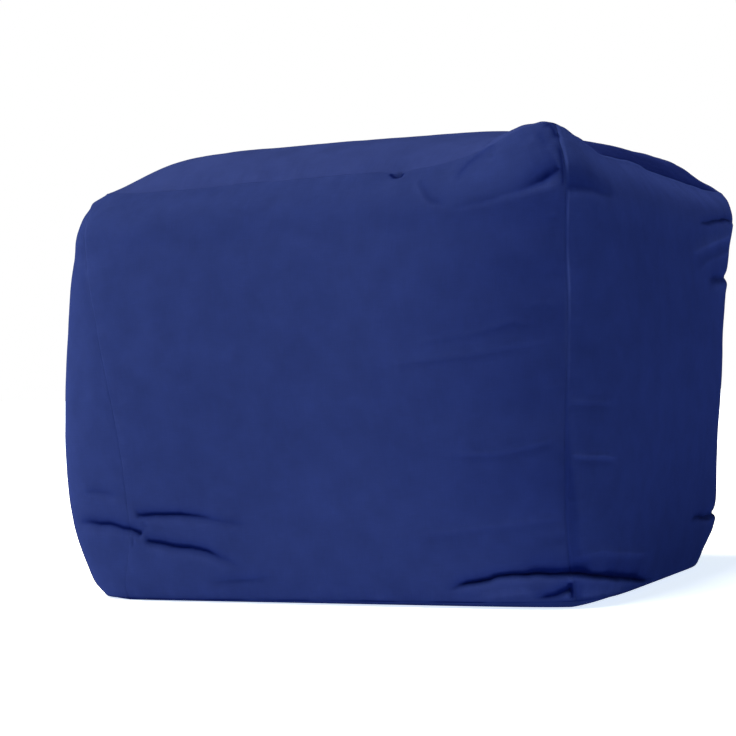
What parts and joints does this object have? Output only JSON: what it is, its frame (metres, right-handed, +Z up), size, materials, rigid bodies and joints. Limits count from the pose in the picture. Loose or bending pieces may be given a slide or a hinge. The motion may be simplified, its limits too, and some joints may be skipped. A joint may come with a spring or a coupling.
{
  "type": "outdoor pouf",
  "caption": "Soft square outdoor pouf of plain navy cloth: crowned top, bulging sides, drawn-in seams, one raised corner ear and slack folds near the floor.",
  "frame": {"origin": "middle of the flat base, on the floor", "axes": "+Z up, the front panel faces -Y, +X to the right of the front panel"},
  "size_m": [0.5687, 0.5631, 0.4299],
  "materials": {
    "outdoor_cloth": "matt, tightly woven outdoor cloth"
  },
  "bodies": {
    "root": {"panel_top": "outdoor_cloth", "panel_front": "outdoor_cloth", "panel_right": "outdoor_cloth", "panel_back": "outdoor_cloth", "panel_left": "outdoor_cloth", "panel_bottom": "outdoor_cloth"}
  },
  "joints": []
}
